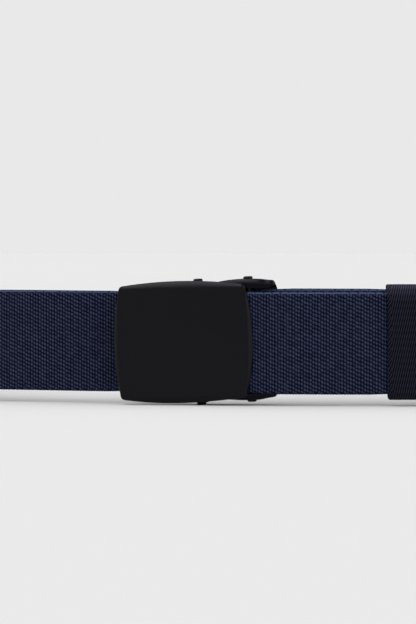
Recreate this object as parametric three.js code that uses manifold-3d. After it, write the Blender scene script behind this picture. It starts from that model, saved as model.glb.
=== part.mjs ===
// A webbing belt, buckled into a loop that stands on its lower edge.
// Millimetres. X is right and Y is back for someone who faces the buckle, Z is up.
// The origin is on the floor, under the middle of the belt's footprint.

import * as THREE from 'three';
import { mergeVertices } from 'three/addons/utils/BufferGeometryUtils.js';
import Module from 'manifold-3d';

// Driving dimensions

const webbing = { width: 38, thickness: 1.8 };

// Half sizes of the waist curve, and how flat its front and its back are (2 is an ellipse).
const waist = { halfWidth: 160, halfDepth: 126, frontFlatness: 4, backFlatness: 2.3 };

// How far the waist curve runs behind the plate's face.
const waistDepth = 7.5;

// Outer size over the bows, how far the ends and the long sides bow out, and the flat face
// inside the rim.
const plate = {
  width: 53, height: 46.3, thickness: 2, endBow: 2.2, longBow: 1.5, corner: 1.8,
  faceWidth: 48.4, faceHeight: 40.8, faceBow: 0.05, faceCorner: 1.6, rimDrop: 1.1,
};

// Share of the way from the face to the edge, and share of the drop there.
const rimProfile = [
  { share: 0, drop: 0 },
  { share: 0.4, drop: 0.1 },
  { share: 0.75, drop: 0.4 },
  { share: 1, drop: 1 },
];

// The plate turns on the left pin, the jaw on the right one. Along is to the right of the
// plate's middle, depth is behind its face.
const pin = { radius: 1.1, headRadius: 1.8, domeRadius: 1, holeRadius: 1.7, holeLength: 60 };
const platePin = { along: 5.7, depth: 6, halfLength: 23.85, headHeight: 0.9 };
const clampPin = { along: 24.8, depth: 6.5, halfLength: 23.7, headHeight: 0.6 };

// The hinge has play: degrees by which each piece turns to the left at its top, and how far
// the clip body rides up on the plate's pin.
const lean = { plate: 1.2, platePin: 1.8, clip: 1.4, clampPin: 2, keeper: 1 };
const clipRise = 0.3;

const ear = { inner: 21.6, outer: 22.7, radius: 3.2, root: 0.5 };
const cam = { halfLength: 19.2, halfWidth: 3, depth: 9.2, nose: 1.5 };
const clip = {
  left: -5, right: 34.4, front: 2.7, floor: 11.6, back: 12.8, wall: 1.3,
  mouthTop: 19.6, mouthFoot: 20.2,
  endHalf: 20.3, endShoulder: 21.9, frontRound: 1.2, earStart: 2.4,
};
const jaw = {
  halfLength: 18.6, barrel: 2.1, bore: 1.5, footHalfWidth: 2.9, footDepth: 9.2, tooth: 0.6, teeth: 4,
};
const keeper = {
  from: 76.6, length: 38, wall: 1.3, halfHeight: 21.65, front: 2.1, back: 9.25,
  middle: 24.05, outerCorner: 1.8, innerCorner: 0.6,
};

// Half height of the clip body along its length: narrow between the plate's ears, widest at
// the clamp pin.
const clipSides = [
  { along: -5, half: 21 },
  { along: 8.8, half: 21 },
  { along: 13.6, half: 22.3 },
  { along: 17, half: 22.75 },
  { along: 21.5, half: 22.95 },
  { along: 26, half: 22.85 },
  { along: 29, half: 22.6 },
  { along: 32, half: 22.15 },
];

// The strap's middle line, from the end held in the clip, once round the waist, behind the
// plate and out to the free end. Along is from the plate's middle, lap adds whole turns,
// depth is behind the plate's face, height is above the floor.
const strapLay = [
  { lap: 0, along: 17, depth: 10.4, height: 24.8 },
  { lap: 0, along: 34, depth: 10.3, height: 24.8 },
  { lap: 0, along: 77, depth: 6.75, height: 24.8 },
  { lap: 0, along: 116, depth: 6.75, height: 24.8 },
  { lap: 0, along: 250, depth: 7.5, height: 19 },
  { lap: 1, along: -250, depth: 7.5, height: 19 },
  { lap: 1, along: -70, depth: 8.4, height: 24.05 },
  { lap: 1, along: -26, depth: 9.3, height: 23.8 },
  { lap: 1, along: 1, depth: 10.4, height: 23.95 },
  { lap: 1, along: 7.5, depth: 10.4, height: 23.95 },
  { lap: 1, along: 23, depth: 3.2, height: 23.9 },
  { lap: 1, along: 31, depth: 3.2, height: 23.8 },
  { lap: 1, along: 77, depth: 4.6, height: 23.8 },
  { lap: 1, along: 116, depth: 4.6, height: 23.8 },
  { lap: 1, along: 133, depth: 4.1, height: 23.8 },
];

const strapStep = 6.5;
const strapFineStep = 1.5;
const keeperSteps = 8;

// Worked out from the above

const radians = THREE.MathUtils.degToRad;
const overallDepth = waistDepth + 2 * waist.halfDepth + webbing.thickness / 2;
const faceY = -overallDepth / 2;
const waistMiddleY = faceY + waistDepth + waist.halfDepth;
const buckleHeight = platePin.halfLength * Math.cos(radians(lean.platePin))
  + pin.domeRadius * Math.sin(radians(lean.platePin));

// The way round the waist, from the front middle to the right, the back and the left.
class WaistCurve extends THREE.Curve {
  getPoint(t, target = new THREE.Vector3()) {
    const atFront = t < 0.25 || t > 0.75;
    const across = Math.sin(t * 2 * Math.PI);
    const flatness = atFront ? waist.frontFlatness : waist.backFlatness;
    const back = Math.sqrt(Math.max(0, 1 - Math.abs(across) ** flatness)) * (atFront ? -1 : 1);
    return target.set(waist.halfWidth * across, waist.halfDepth * back + waistMiddleY, 0);
  }
}

const waistCurve = new WaistCurve();
waistCurve.arcLengthDivisions = 2000;
const waistLength = waistCurve.getLength();

// A point by its way along the waist curve, its depth behind the plate's face and its height.
function onWaist(along, depth, height) {
  const part = THREE.MathUtils.euclideanModulo(along, waistLength) / waistLength;
  const point = waistCurve.getPointAt(part);
  const tangent = waistCurve.getTangentAt(part);
  const inward = new THREE.Vector3(-tangent.y, tangent.x, 0).normalize();
  return point.addScaledVector(inward, depth - waistDepth).setZ(height);
}

// A closed body through sections of equal point count. A ring of sections joins its last
// section to its first; otherwise both ends are capped.
function skin(sections, ring = false) {
  const count = sections[0].length;
  const positions = sections.flat().flatMap((p) => [p.x, p.y, p.z]);
  const index = [];
  const spans = ring ? sections.length : sections.length - 1;
  for (let i = 0; i < spans; i++) {
    const here = i * count;
    const next = ((i + 1) % sections.length) * count;
    for (let j = 0; j < count; j++) {
      const k = (j + 1) % count;
      index.push(here + j, here + k, next + k, here + j, next + k, next + j);
    }
  }
  if (!ring) {
    const last = (sections.length - 1) * count;
    for (let j = 1; j < count - 1; j++) {
      index.push(0, j + 1, j);
      index.push(last, last + j, last + j + 1);
    }
  }
  const geometry = new THREE.BufferGeometry();
  geometry.setAttribute('position', new THREE.Float32BufferAttribute(positions, 3));
  geometry.setIndex(index);
  return geometry;
}

// Solids joined and cut

const wasm = await Module();
wasm.setup();

function solid(geometry) {
  const bare = geometry.clone();
  bare.deleteAttribute('normal');
  bare.deleteAttribute('uv');
  const merged = mergeVertices(bare, 1e-4);
  return new wasm.Manifold(new wasm.Mesh({
    numProp: 3,
    vertProperties: new Float32Array(merged.attributes.position.array),
    triVerts: new Uint32Array(merged.index.array),
  }));
}

function geometryOf(body) {
  const { vertProperties, triVerts } = body.getMesh();
  const geometry = new THREE.BufferGeometry();
  geometry.setAttribute('position', new THREE.BufferAttribute(vertProperties, 3));
  geometry.setIndex(new THREE.BufferAttribute(triVerts, 1));
  return geometry;
}

// A shape drawn from the front, along and up, as a prism between two depths.
function frontPrism(shape, nearDepth, farDepth, curveSegments = 8) {
  const depth = farDepth - nearDepth;
  const geometry = new THREE.ExtrudeGeometry(shape, { depth, bevelEnabled: false, curveSegments });
  return geometry.rotateX(Math.PI / 2).translate(0, farDepth, 0);
}

// A shape drawn from above, along and depth, as a prism between two heights.
function upPrism(shape, low, high, curveSegments = 8) {
  const depth = high - low;
  const geometry = new THREE.ExtrudeGeometry(shape, { depth, bevelEnabled: false, curveSegments });
  return geometry.translate(0, 0, low);
}

function pinHole(place) {
  const hole = new THREE.CylinderGeometry(pin.holeRadius, pin.holeRadius, pin.holeLength, 20);
  return solid(hole.rotateX(Math.PI / 2).translate(place.along, place.depth, 0));
}

function piece(name, geometry, colour, roughness, metalness) {
  const material = new THREE.MeshStandardMaterial({ color: colour, roughness, metalness });
  const mesh = new THREE.Mesh(geometry, material);
  mesh.name = name;
  return mesh;
}

// The strap

// One length of woven webbing, standing on edge all the way round.
function strap() {
  const rows = strapLay.map((row) => ({ ...row, at: row.lap * waistLength + row.along }));
  const lay = (at) => {
    const i = Math.max(1, rows.findIndex((row) => row.at >= at - 1e-6));
    const from = rows[i - 1];
    const to = rows[i];
    const t = THREE.MathUtils.smoothstep(at, from.at, to.at);
    return onWaist(at, THREE.MathUtils.lerp(from.depth, to.depth, t),
      THREE.MathUtils.lerp(from.height, to.height, t));
  };
  const first = rows[0].at;
  const last = rows[rows.length - 1].at;
  const section = (at) => {
    const middle = lay(at);
    const way = lay(Math.min(at + 0.2, last)).sub(lay(Math.max(at - 0.2, first)));
    const inward = new THREE.Vector3(-way.y, way.x, 0).setLength(webbing.thickness / 2);
    const up = new THREE.Vector3(0, 0, webbing.width / 2);
    return [
      middle.clone().sub(inward).sub(up),
      middle.clone().add(inward).sub(up),
      middle.clone().add(inward).add(up),
      middle.clone().sub(inward).add(up),
    ];
  };
  const sections = [];
  rows.slice(1).forEach((to, i) => {
    const from = rows[i];
    const bent = to.lap === 1 && to.along > -26 && to.along < 30;
    const count = Math.max(1, Math.round((to.at - from.at) / (bent ? strapFineStep : strapStep)));
    for (let k = 0; k < count; k++) sections.push(section(from.at + (to.at - from.at) * k / count));
  });
  sections.push(section(last));
  return piece('webbing_strap', skin(sections), 0x20233a, 0.85, 0);
}

// The keeper: a wide loop of twill elastic round both layers of the strap.
function keeperLoop() {
  const middleDepth = (keeper.front + keeper.back) / 2;
  const outline = (inset, corner) => {
    const halfDepth = (keeper.back - keeper.front) / 2 - inset;
    const halfHeight = keeper.halfHeight - inset;
    const points = [];
    for (const quarter of [0, 1, 2, 3]) {
      const sideDepth = quarter === 0 || quarter === 3 ? 1 : -1;
      const sideHeight = quarter < 2 ? 1 : -1;
      for (const step of [0, 1, 2, 3]) {
        const angle = (quarter + step / 3) * Math.PI / 2;
        points.push({
          depth: middleDepth + sideDepth * (halfDepth - corner) + corner * Math.cos(angle),
          height: sideHeight * (halfHeight - corner) + corner * Math.sin(angle),
        });
      }
    }
    return points;
  };
  const outer = outline(0, keeper.outerCorner);
  const inner = outline(keeper.wall, keeper.innerCorner);
  const slant = Math.tan(radians(lean.keeper));
  const place = (ring, k) => ring.map((p) => onWaist(
    keeper.from + keeper.length * k / keeperSteps - p.height * slant,
    p.depth,
    keeper.middle + p.height,
  ));
  const sections = [];
  for (let k = 0; k <= keeperSteps; k++) sections.push(place(outer, k));
  for (let k = keeperSteps; k >= 0; k--) sections.push(place(inner, k));
  return piece('keeper_loop', skin(sections, true), 0x181820, 0.9, 0);
}

// The buckle, drawn round the plate's middle: along, depth behind the face, up

// Four sides that bow outwards, the two ends by endBow and the long sides by longBow.
function bowedOutline(width, height, endBow, longBow, corner) {
  const x = width / 2 - endBow;
  const z = height / 2 - longBow;
  const outline = new THREE.Shape();
  outline.moveTo(x - corner, z);
  outline.quadraticCurveTo(x, z, x, z - corner);
  outline.quadraticCurveTo(x + 2 * endBow, 0, x, corner - z);
  outline.quadraticCurveTo(x, -z, x - corner, -z);
  outline.quadraticCurveTo(0, -z - 2 * longBow, corner - x, -z);
  outline.quadraticCurveTo(-x, -z, -x, corner - z);
  outline.quadraticCurveTo(-x - 2 * endBow, 0, -x, z - corner);
  outline.quadraticCurveTo(-x, z, corner - x, z);
  outline.quadraticCurveTo(0, z + 2 * longBow, x - corner, z);
  return outline;
}

// The face is flat inside a rounded rim that is widest and deepest half way along each side.
function frontPlate() {
  const { width, height, faceWidth, faceHeight, faceBow } = plate;
  const rimShape = bowedOutline(width, height, plate.endBow, plate.longBow, plate.corner);
  const faceShape = bowedOutline(faceWidth, faceHeight, faceBow, faceBow, plate.faceCorner);
  const rim = rimShape.getPoints(8).slice(1);
  const face = faceShape.getPoints(8).slice(1);
  const widest = (plate.height - plate.faceHeight) / 2;
  const section = (share, drop) => face.map((inside, i) => {
    const gap = inside.distanceTo(rim[i]);
    const at = inside.clone().lerp(rim[i], share);
    return new THREE.Vector3(at.x, plate.rimDrop * drop * Math.min(1, gap / widest), at.y);
  });
  const back = rim.map((p) => new THREE.Vector3(p.x, plate.thickness, p.y));
  const body = solid(skin([...rimProfile.map((row) => section(row.share, row.drop)), back]));

  const root = plate.thickness - ear.root;
  const earShape = new THREE.Shape();
  earShape.moveTo(platePin.along - ear.radius, root);
  earShape.lineTo(platePin.along + ear.radius, root);
  earShape.lineTo(platePin.along + ear.radius, platePin.depth);
  earShape.absarc(platePin.along, platePin.depth, ear.radius, 0, Math.PI, false);
  earShape.closePath();
  const upperEar = solid(upPrism(earShape, ear.inner, ear.outer));
  const lowerEar = solid(upPrism(earShape, -ear.outer, -ear.inner));
  const trim = solid(frontPrism(rimShape, 0, clip.back));

  const camShape = new THREE.Shape();
  camShape.moveTo(platePin.along - cam.halfWidth, root);
  camShape.lineTo(platePin.along + cam.halfWidth, root);
  camShape.lineTo(platePin.along + cam.halfWidth, cam.depth - cam.nose);
  camShape.lineTo(platePin.along + cam.halfWidth - cam.nose, cam.depth);
  camShape.lineTo(platePin.along - cam.halfWidth + cam.nose, cam.depth);
  camShape.lineTo(platePin.along - cam.halfWidth, cam.depth - cam.nose);
  camShape.closePath();
  const camBar = solid(upPrism(camShape, -cam.halfLength, cam.halfLength));

  const ears = upperEar.add(lowerEar).intersect(trim);
  const whole = body.add(ears).add(camBar).subtract(pinHole(platePin));
  return piece('front_plate', geometryOf(whole), 0x1a1a1d, 0.5, 0.3);
}

// A channel with open ends, bowed like a barrel round the clamp pin. Its mouth at the front is
// straight, so that a lip is left where the sides bow out past it.
function clipBody() {
  const sides = new THREE.SplineCurve(clipSides.map((row) => new THREE.Vector2(row.along, row.half)));
  const upper = sides.getPoints(28);
  const shoulder = upper[upper.length - 1];
  const upperEnd = new THREE.QuadraticBezierCurve(
    shoulder,
    new THREE.Vector2(clip.right, clip.endShoulder),
    new THREE.Vector2(clip.right, clip.endHalf),
  ).getPoints(5).slice(1);
  const mirrored = (points) => points.map((p) => new THREE.Vector2(p.x, -p.y)).reverse();
  const outerUpper = [...upper, ...upperEnd];
  const outer = new THREE.Shape([...outerUpper, ...mirrored(outerUpper)]);
  const hollowUpper = [
    new THREE.Vector2(clip.left - 1, clipSides[0].half - clip.wall),
    ...upper.map((p) => new THREE.Vector2(p.x, p.y - clip.wall)),
    new THREE.Vector2(clip.right + 1, shoulder.y - clip.wall),
  ];
  const hollow = new THREE.Shape([...hollowUpper, ...mirrored(hollowUpper)]);
  const mouth = new THREE.Shape([
    new THREE.Vector2(clip.left - 1, -clip.mouthFoot),
    new THREE.Vector2(clip.right + 1, -clip.mouthFoot),
    new THREE.Vector2(clip.right + 1, clip.mouthTop),
    new THREE.Vector2(clip.left - 1, clip.mouthTop),
  ]);

  const side = new THREE.Shape();
  side.moveTo(clip.left, clip.back);
  side.lineTo(clip.left, clip.floor);
  side.quadraticCurveTo(clip.earStart, clip.floor, clip.earStart, platePin.depth);
  side.quadraticCurveTo(clip.earStart, clip.front, platePin.along, clip.front);
  side.lineTo(clip.right - clip.frontRound, clip.front);
  side.quadraticCurveTo(clip.right, clip.front, clip.right, clip.front + clip.frontRound);
  side.lineTo(clip.right, clip.back);
  side.closePath();

  const shell = solid(frontPrism(outer, clip.front - 1, clip.back))
    .subtract(solid(frontPrism(hollow, clip.front + clip.wall, clip.floor)))
    .subtract(solid(frontPrism(mouth, clip.front - 2, clip.floor - 1)))
    .intersect(solid(upPrism(side, -pin.holeLength / 2, pin.holeLength / 2)))
    .subtract(pinHole(platePin))
    .subtract(pinHole(clampPin));
  return piece('clip_body', geometryOf(shell), 0x141416, 0.35, 0.5);
}

// The jaw that holds the fixed end: a barrel on the clamp pin with a toothed foot.
function clampJaw() {
  const { along, depth } = clampPin;
  const valley = jaw.footDepth - jaw.tooth;
  const toothWidth = 2 * jaw.footHalfWidth / jaw.teeth;
  const outline = new THREE.Shape();
  outline.moveTo(along + jaw.footHalfWidth, valley);
  for (let tooth = 0; tooth < jaw.teeth; tooth++) {
    const right = along + jaw.footHalfWidth - tooth * toothWidth;
    outline.lineTo(right - toothWidth / 2, jaw.footDepth);
    outline.lineTo(right - toothWidth, valley);
  }
  outline.absarc(along, depth, jaw.barrel, Math.PI, 2 * Math.PI, false);
  const hole = new THREE.Path();
  hole.absarc(along, depth, jaw.bore, 0, 2 * Math.PI, true);
  outline.holes.push(hole);
  return piece('clamp_jaw', upPrism(outline, -jaw.halfLength, jaw.halfLength), 0x1c1c1f, 0.4, 0.6);
}

// A round pin with a domed head at both ends.
function headedPin(name, place) {
  const top = place.halfLength;
  const underHead = top - place.headHeight;
  const upperHalf = [
    new THREE.Vector2(pin.radius, underHead),
    new THREE.Vector2(pin.headRadius, underHead),
    new THREE.Vector2(pin.headRadius, underHead + 0.4 * place.headHeight),
    new THREE.Vector2(0.85 * pin.headRadius, underHead + 0.8 * place.headHeight),
    new THREE.Vector2(pin.domeRadius, top),
    new THREE.Vector2(0, top),
  ];
  const lowerHalf = upperHalf.map((p) => new THREE.Vector2(p.x, -p.y)).reverse();
  const geometry = new THREE.LatheGeometry([...lowerHalf, ...upperHalf], 18);
  geometry.rotateX(Math.PI / 2);
  geometry.translate(place.along, place.depth, 0);
  return piece(name, geometry, 0x17171a, 0.3, 0.7);
}

// Pieces that turn together about the middle of a pin, top to the left, and ride up on it.
function leaning(place, degrees, rise, pieces) {
  const turn = new THREE.Group();
  turn.position.set(place.along, 0, rise);
  turn.rotation.y = -radians(degrees);
  for (const member of pieces) {
    member.position.x -= place.along;
    turn.add(member);
  }
  return turn;
}

const clampParts = leaning(clampPin, lean.clampPin - lean.clip, 0, [
  clampJaw(),
  headedPin('clamp_pin', clampPin),
]);

const buckle = new THREE.Group();
buckle.position.set(0, faceY, buckleHeight);
buckle.add(
  leaning(platePin, lean.plate, 0, [frontPlate()]),
  leaning(platePin, lean.platePin, 0, [headedPin('plate_pin', platePin)]),
  leaning(platePin, lean.clip, clipRise, [clipBody(), clampParts]),
);

const belt = new THREE.Group();
belt.add(buckle, strap(), keeperLoop());

export default belt;
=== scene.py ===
import math
from functools import partial

import bmesh
import bpy
import numpy as np
from mathutils import Matrix, Vector


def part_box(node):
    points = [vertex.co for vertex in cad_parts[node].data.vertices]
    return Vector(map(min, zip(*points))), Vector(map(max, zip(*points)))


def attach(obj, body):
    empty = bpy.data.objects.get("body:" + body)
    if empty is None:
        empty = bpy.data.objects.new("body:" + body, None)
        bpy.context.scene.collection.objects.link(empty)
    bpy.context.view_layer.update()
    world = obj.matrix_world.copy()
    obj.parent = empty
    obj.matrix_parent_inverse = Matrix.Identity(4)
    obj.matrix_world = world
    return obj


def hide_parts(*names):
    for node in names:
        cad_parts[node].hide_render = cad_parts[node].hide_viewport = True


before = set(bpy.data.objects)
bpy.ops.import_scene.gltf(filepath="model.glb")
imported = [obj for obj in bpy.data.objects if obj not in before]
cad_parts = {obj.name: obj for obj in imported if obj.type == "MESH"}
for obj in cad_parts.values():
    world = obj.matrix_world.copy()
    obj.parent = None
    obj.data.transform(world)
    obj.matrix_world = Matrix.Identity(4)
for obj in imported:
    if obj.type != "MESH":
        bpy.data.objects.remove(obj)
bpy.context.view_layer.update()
print("scene: the frame is loaded")

# A navy webbing belt, buckled into a loop that stands on its lower edge.
# Sizes are in millimetres and turn to metres only where a mesh is made.
mm = 0.001
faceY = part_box("front_plate")[0].y / mm  # the plate's face, the foremost point of the belt

# How the waist curve runs: an oval with a flatter front, a little behind the plate's face
waist = {
    "halfWidth": 160, "halfDepth": 126, "frontFlatness": 4, "backFlatness": 2.3,
    "depth": 7.5, "steps": 4000,
}


# Small tools

def linearColour(hexCode):
    parts = [int(hexCode[i:i + 2], 16) / 255 for i in (1, 3, 5)]
    linear = [p / 12.92 if p <= 0.04045 else ((p + 0.055) / 1.055) ** 2.4 for p in parts]
    return (*linear, 1)


mathNode = "ShaderNodeMath"
rangeNode = "ShaderNodeMapRange"


# Adds a node. Settings are its own, its sockets' values by name or number, or a ramp's stops.
def addNode(tree, kind, settings=None, links=None):
    node = tree.nodes.new(kind)
    node.location = (200 * (len(tree.nodes) % 12), -260 * (len(tree.nodes) // 12))
    for name, value in (settings or {}).items():
        if name == "stops":
            elements = node.color_ramp.elements
            while len(elements) < len(value):
                elements.new(1)
            for element, (position, hexCode) in zip(elements, value):
                element.position = position
                element.color = linearColour(hexCode)
        elif isinstance(name, str) and hasattr(node, name):
            setattr(node, name, value)
        else:
            node.inputs[name].default_value = value
    for name, source in (links or {}).items():
        tree.links.new(source, node.inputs[name])
    return node.outputs[0] if node.outputs else node


# A bare material, and the function that adds nodes to it
def newMaterial(name):
    material = bpy.data.materials.new(name)
    material.use_nodes = True
    material.node_tree.nodes.clear()
    return material, partial(addNode, material.node_tree)


def newObject(name, mesh):
    piece = bpy.data.objects.new(name, mesh)
    bpy.context.scene.collection.objects.link(piece)
    return piece


def bakeModifiers(piece):
    depsgraph = bpy.context.evaluated_depsgraph_get()
    mesh = bpy.data.meshes.new_from_object(piece.evaluated_get(depsgraph))
    piece.modifiers.clear()
    old = piece.data
    piece.data = mesh
    bpy.data.meshes.remove(old)


def combine(target, tool, operation):
    cut = target.modifiers.new("cut", "BOOLEAN")
    cut.operation = operation
    cut.solver = "EXACT"
    cut.object = tool
    bakeModifiers(target)
    bpy.data.objects.remove(tool)


def bevelled(piece, width, angle):
    bevel = piece.modifiers.new("edges", "BEVEL")
    bevel.width = width
    bevel.segments = 2
    bevel.limit_method = "ANGLE"
    bevel.angle_limit = math.radians(angle)
    bevel.use_clamp_overlap = True
    bakeModifiers(piece)


def smoothed(piece, angle=35):
    piece.data.shade_smooth()
    piece.data.set_sharp_from_angle(angle=math.radians(angle))


# Seats a finished piece: millimetres to metres, its material, its body and the solid that it stands for
def placePiece(piece, material, solid, matrix=Matrix.Identity(4)):
    piece.data.transform(Matrix.Scale(mm, 4) @ matrix)
    piece.data.materials.clear()
    piece.data.materials.append(material)
    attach(piece, "root")
    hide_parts(solid)
    print("scene:", piece.name, "has", len(piece.data.polygons), "faces")
    return piece


# A closed mesh through rings of points, capped at both ends or joined last to first
def skinned(name, rings, joined=False):
    rings = [np.asarray(ring, float) for ring in rings]
    count = len(rings[0])
    points = np.concatenate(rings)
    faces = []
    for i in range(len(rings) if joined else len(rings) - 1):
        here = i * count
        there = ((i + 1) % len(rings)) * count
        for j in range(count):
            k = (j + 1) % count
            faces.append((here + j, here + k, there + k, there + j))
    if not joined:
        faces.append(tuple(reversed(range(count))))
        faces.append(tuple(range(len(points) - count, len(points))))
    mesh = bpy.data.meshes.new(name)
    mesh.from_pydata(points.tolist(), [], faces)
    outward(mesh)
    return newObject(name, mesh)


def outward(mesh):
    work = bmesh.new()
    work.from_mesh(mesh)
    bmesh.ops.recalc_face_normals(work, faces=work.faces)
    work.to_mesh(mesh)
    work.free()


# A prism: an outline of (along, depth) pairs drawn from above, between two heights
def upPrism(name, outline, low, high):
    low, high = [[(x, y, z) for x, y in outline] for z in (low, high)]
    return skinned(name, [low, high])


# The waist curve by its arc length

def waistTable():
    turn = np.linspace(0, 1, waist["steps"] + 1)
    across = np.sin(2 * np.pi * turn)
    front = (turn < 0.25) | (turn > 0.75)
    flatness = np.where(front, waist["frontFlatness"], waist["backFlatness"])
    back = np.sqrt(np.maximum(0, 1 - np.abs(across) ** flatness)) * np.where(front, -1, 1)
    x = waist["halfWidth"] * across
    y = waist["halfDepth"] * back + faceY + waist["depth"] + waist["halfDepth"]
    length = np.concatenate(([0], np.cumsum(np.hypot(np.diff(x), np.diff(y)))))
    return length, x, y, np.gradient(x, length), np.gradient(y, length)


waistArc, waistX, waistY, waistWayX, waistWayY = waistTable()
waistLength = waistArc[-1]


# Points by their way along the waist, their depth behind the plate's face and their height
def onWaist(along, depth, height):
    at = np.mod(along, waistLength)
    wayX, wayY = [np.interp(at, waistArc, values) for values in (waistWayX, waistWayY)]
    size = np.hypot(wayX, wayY)
    inward = depth - waist["depth"]
    x = np.interp(at, waistArc, waistX) - wayY / size * inward
    y = np.interp(at, waistArc, waistY) + wayX / size * inward
    return np.stack(np.broadcast_arrays(x, y, height), -1)


# The strap

# The weave: crowns of yarn in three columns to a repeat, each column lower than the last.
# A crown is an oval pillow that leans to the left at its top.
weave = {
    "repeat": 3.18, "rowPitch": 1.493,
    "columns": [(0, 0), (0.35, 0.3), (0.68, 0.75)],  # place in the repeat, rows lower than the first
    "halfWidth": 0.67, "halfHeight": 0.69, "lean": 0.24,  # of a column's and a row's pitch
    "roundness": 1.9, "crownHeight": 0.36, "level": 0.4,
    "unevenness": 0.12, "seed": 7, "draws": 997,
}
columnPitch = weave["repeat"] / len(weave["columns"])

strapBand = {
    "width": 38, "thickness": 1.8, "selvage": 1.0, "topRib": 0.08, "footRib": 0.22, "edgeRise": 0.2,
    "rowStep": 0.3725, "plainStep": 4.5, "edgeTurn": 30, "wayStep": 0.2, "fadeIn": 8,
    "sealed": 1.2, "sealedThickness": 0.62, "sealedSteps": [0.4, 0.25, 0.12, 0.04, 0],
}

# Where the strap's middle line lies. Lap adds whole turns, along is from the plate's middle.
strapLay = [
    # lap, along, depth, height
    (0, 17, 10.4, 24.8),
    (0, 34, 10.3, 24.8),
    (0, 77, 6.75, 24.8),
    (0, 116, 6.75, 24.8),
    (0, 250, 7.5, 19),
    (1, -250, 7.5, 19),
    (1, -70, 8.4, 24.05),
    (1, -26, 9.3, 23.8),
    (1, 1, 10.4, 23.95),
    (1, 7.5, 10.4, 23.95),
    (1, 23, 3.2, 23.8),
    (1, 31, 3.2, 23.6),
    (1, 77, 4.6, 23.6),
    (1, 116, 4.6, 23.6),
    (1, 133, 4.1, 23.6),
]

# How finely each stretch is meshed. Crowned has every crown on its outer face, plain leaves
# them to the bump. With this many sections for each column, a stretch shows its crowns.
crownSections = 4
strapStretches = [
    # lap, from, ring, sections for each column
    (0, 17, "plain", 1),
    (0, 33, "plain", 4),
    (0, 77, "plain", 0.5),
    (1, -104, "crowned", 4),
    (1, -22, "plain", 1),
    (1, 24, "crowned", 4),
    (1, 78, "plain", 0.5),
    (1, 114, "crowned", 4),
]

layAt = np.array([lap * waistLength + along for lap, along, depth, height in strapLay])
layDepth = np.array([row[2] for row in strapLay])
layHeight = np.array([row[3] for row in strapLay])
strapStart, strapEnd = layAt[0], layAt[-1]


def strapLine(at):
    i = np.clip(np.searchsorted(layAt, at), 1, len(layAt) - 1)
    share = np.clip((at - layAt[i - 1]) / (layAt[i] - layAt[i - 1]), 0, 1)
    share = share * share * (3 - 2 * share)
    depth = layDepth[i - 1] + (layDepth[i] - layDepth[i - 1]) * share
    height = layHeight[i - 1] + (layHeight[i] - layHeight[i - 1]) * share
    return onWaist(at, depth, height)


# Round the strap's section from the foot of its outer face: thickness offset, height, share of face
def strapRing(step):
    half = strapBand["width"] / 2
    face = half - strapBand["selvage"]
    rise = np.arange(-face, face + 0.01, step)
    turn = np.radians(np.arange(strapBand["edgeTurn"], 180, strapBand["edgeTurn"]))
    outer = [(-1, h, 1) for h in rise]
    top = [(-math.cos(a), face + strapBand["selvage"] * math.sin(a), 0) for a in turn]
    inner = [(1, -h, 1) for h in np.arange(-face, face + 0.01, strapBand["plainStep"])]
    bottom = [(math.cos(a), -face - strapBand["selvage"] * math.sin(a), 0) for a in turn]
    return np.array(outer + top + inner + bottom)


def wayRound(ring):
    base = strapBand["thickness"] / 2 - weave["crownHeight"] / 2
    points = np.stack([ring[:, 0] * base, ring[:, 1]], -1)
    steps = np.linalg.norm(np.roll(points, -1, 0) - points, axis=1)
    return np.concatenate(([0], np.cumsum(steps))) + ring[0, 1]


# How high the yarn stands at a place on the face, from 0 in a gap to 1 on a crown, and how high
# its column stands. Each crown takes its own draw, which the primes pick without a visible order.
def crownShape(along, up, wander):
    yarn, column = 0, 0
    for i, (place, drop) in enumerate(weave["columns"]):
        across = along / weave["repeat"] - place
        down = -up / weave["rowPitch"] - drop
        repeat, row = np.floor(across + 0.5), np.floor(down + 0.5)
        y = down - row
        x = (across - repeat) * len(weave["columns"])
        oval = 1 - ((x - weave["lean"] * y) / weave["halfWidth"]) ** 2 - (y / weave["halfHeight"]) ** 2
        cell = (repeat.astype(int) * 7 + i * 31 + row.astype(int) * 13) % len(wander)
        yarn = np.maximum(yarn, np.maximum(0, oval) ** weave["roundness"] * (1 + wander[cell]))
        column = np.maximum(column, 1 - (x / weave["halfWidth"]) ** 2)
    return yarn, column + 0 * up


def strapSections(stations, ring, crowned, wander):
    middle = strapLine(stations)
    ahead = strapLine(np.minimum(stations + strapBand["wayStep"], strapEnd))
    behind = strapLine(np.maximum(stations - strapBand["wayStep"], strapStart))
    way = ahead - behind
    inward = np.stack([-way[:, 1], way[:, 0], 0 * way[:, 0]], -1)
    inward /= np.linalg.norm(inward, axis=1, keepdims=True)
    side, up, onFace = ring.T
    fade = strapBand["fadeIn"]
    begin, end = crowned
    amount = np.clip(np.minimum(stations - begin, end - stations) / fade, 0, 1) if end else 0 * stations
    rise, rib = crownShape(stations[:, None], up[None, :], wander)
    seal = np.clip((strapEnd - stations) / strapBand["sealed"], 0, 1)[:, None]
    seal = np.sqrt(1 - (1 - seal) ** 2)
    relief = weave["crownHeight"] * (rise - weave["level"]) * onFace * (side < 0) * amount[:, None]
    ribs = np.where(up > 0, strapBand["topRib"], strapBand["footRib"]) * (rib - 0.5) + strapBand["edgeRise"]
    ribs = ribs * (1 - onFace) * amount[:, None]
    base = strapBand["thickness"] / 2 - weave["crownHeight"] / 2
    thick = strapBand["sealedThickness"] * (1 - seal) + base * seal
    offset = side * thick + np.sign(side) * relief * seal
    height = up + np.sign(up) * ribs * seal
    upward = np.array([0, 0, 1])
    return middle[:, None, :] + inward[:, None, :] * offset[..., None] + upward * height[..., None]


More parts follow.
